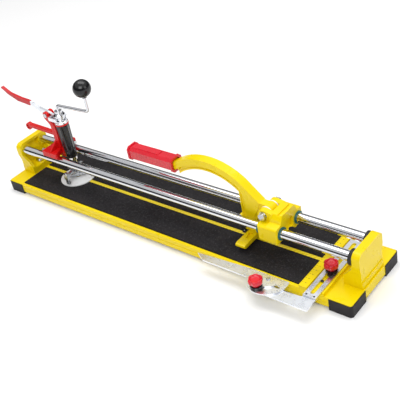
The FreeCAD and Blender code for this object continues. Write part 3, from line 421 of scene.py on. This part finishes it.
def column():
    low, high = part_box("column_sleeve")
    centre = (low + high) / 2
    mesh = bmesh.new()
    outside = []
    for row in range(COLUMN_ROWS + 1):
        share = row / COLUMN_ROWS
        radius = column_radius(share)
        outside.append(add_ring(mesh, centre, low.z + (high.z - low.z) * share, COLUMN_AROUND,
                                lambda turn: radius - flute_cut(share, turn)))
    inside = [add_ring(mesh, centre, z, COLUMN_AROUND, lambda turn: COLUMN_BORE)
              for z in (low.z, high.z)]
    loops = [inside[0]] + outside + [inside[1], inside[0]]
    for first, second in zip(loops, loops[1:]):
        for i in range(COLUMN_AROUND):
            mesh.faces.new((first[i - 1], first[i], second[i], second[i - 1]))
    sleeve = piece("fluted_column", mesh, "cutter",
                   moulded("column_black", (0.010, 0.010, 0.011), (0.018, 0.018, 0.020), 0.16,
                           700.0, 0.01), True)
    sleeve.data.set_sharp_from_angle(angle=math.radians(SHARP_ANGLE))
    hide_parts("column_sleeve")


# ---- side guide: the stop peg that shows through the slotted arm ----
def stop_peg():
    low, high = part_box("slotted_arm")
    floor = low.z - 0.1 * MM
    middle = Vector(((low.x + high.x) / 2 - 1.0 * MM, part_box("fence_stud")[0].y - 22.0 * MM, 0))
    mesh = bmesh.new()
    add_lathe(mesh, [(2.2 * MM, floor), (2.2 * MM, high.z - 0.4 * MM), (1.8 * MM, high.z)], middle)
    peg = piece("stop_peg", mesh, "base", FINISHES["black_plastic"])


# ---- clamp knobs: six lobes, a rolled lip, a dished top and the blind bore for the stud ----
def lobed_radius(radius, lobed, turn):
    scallop = (0.5 - 0.5 * math.cos(KNOB_LOBES * turn)) ** 2
    return radius * (1 - LOBE_DEPTH * lobed * scallop)


def knob(node, body):
    low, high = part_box(node)
    centre = (low + high) / 2
    radius = (high.x - low.x) / 2
    mesh = bmesh.new()
    rings = []
    for share, level, lobed in KNOB_PROFILE:
        z = low.z + (high.z - low.z) * level
        if share == 0.0:
            rings.append([mesh.verts.new((centre.x, centre.y, z))] * KNOB_AROUND)
        else:
            rings.append(add_ring(mesh, centre, z, KNOB_AROUND,
                                  lambda turn: lobed_radius(radius * share, lobed, turn)))
    for first, second in zip(rings, rings[1:]):
        for i in range(KNOB_AROUND):
            corners = []
            for vertex in (first[i - 1], first[i], second[i], second[i - 1]):
                if vertex not in corners:
                    corners.append(vertex)
            mesh.faces.new(corners)
    turned = piece(node + "_lobed", mesh, body, FINISHES["red_plastic"], True)
    turned.data.set_sharp_from_angle(angle=math.radians(SHARP_ANGLE))
    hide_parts(node)


fence_scale()
protractor_scale()
column()
stop_peg()
knob("mitre_knob", "mitre_knob")
knob("fence_knob", "fence_knob")


# ---- floor, light and camera ----
def stage():
    mesh = bmesh.new()
    bmesh.ops.create_grid(mesh, x_segments=2, y_segments=2, size=FLOOR_HALF)
    data = bpy.data.meshes.new("floor")
    mesh.to_mesh(data)
    mesh.free()
    floor = bpy.data.objects.new("floor", data)
    bpy.context.scene.collection.objects.link(floor)
    f = Finish("floor_white", Roughness=0.9, Specular_IOR_Level=0.1)
    f.set("Base Color", f.blend(f.noise(1.5, 1.0), (0.96, 0.96, 0.96), (0.98, 0.98, 0.98)))
    dress(floor, f.material)


def softbox(name, place, target, size, power):
    light = bpy.data.lights.new(name, "AREA")
    light.shape = "RECTANGLE"
    light.size, light.size_y = size
    light.energy = power
    lamp = bpy.data.objects.new(name, light)
    bpy.context.scene.collection.objects.link(lamp)
    lamp.location = place
    lamp.rotation_euler = (Vector(target) - Vector(place)).to_track_quat("-Z", "Y").to_euler()


def sky():
    """A white studio with a dark band above the horizon, which gives the rails their dark streak."""
    world = bpy.data.worlds.new("studio")
    bpy.context.scene.world = world
    world.use_nodes = True
    tree = world.node_tree
    direction = tree.nodes.new("ShaderNodeTexCoord")
    split = tree.nodes.new("ShaderNodeSeparateXYZ")
    ramp = tree.nodes.new("ShaderNodeValToRGB")
    tree.links.new(direction.outputs["Generated"], split.inputs[0])
    tree.links.new(split.outputs["Z"], ramp.inputs[0])
    tree.links.new(ramp.outputs["Color"], tree.nodes["Background"].inputs["Color"])
    tree.nodes["Background"].inputs["Strength"].default_value = SKY_STRENGTH
    elements = ramp.color_ramp.elements
    while len(elements) < len(SKY_LEVELS):
        elements.new(0.5)
    for element, (position, grey) in zip(elements, SKY_LEVELS):
        element.position = position
        element.color = (grey, grey, grey, 1)


def camera():
    a, e, r = (math.radians(v) for v in (CAMERA_AZIMUTH, CAMERA_ELEVATION, CAMERA_ROLL))
    back = Vector((math.sin(a) * math.cos(e), -math.cos(a) * math.cos(e), math.sin(e)))
    level = (-back).cross(Vector((0, 0, 1))).normalized()
    upright = level.cross(-back)
    right = level * math.cos(r) + upright * math.sin(r)
    up = upright * math.cos(r) - level * math.sin(r)
    data = bpy.data.cameras.new("camera")
    data.sensor_width = 36
    data.lens = CAMERA_LENS
    data.clip_start = 0.01
    obj = bpy.data.objects.new("camera", data)
    bpy.context.scene.collection.objects.link(obj)
    turn = Matrix((right, up, back)).transposed().to_4x4()
    obj.matrix_world = Matrix.Translation(CAMERA_PLACE) @ turn
    bpy.context.scene.camera = obj


stage()
sky()
for softbox_name, settings in SOFTBOXES.items():
    softbox(softbox_name, *settings)
camera()
bpy.context.scene.view_settings.view_transform = "Standard"
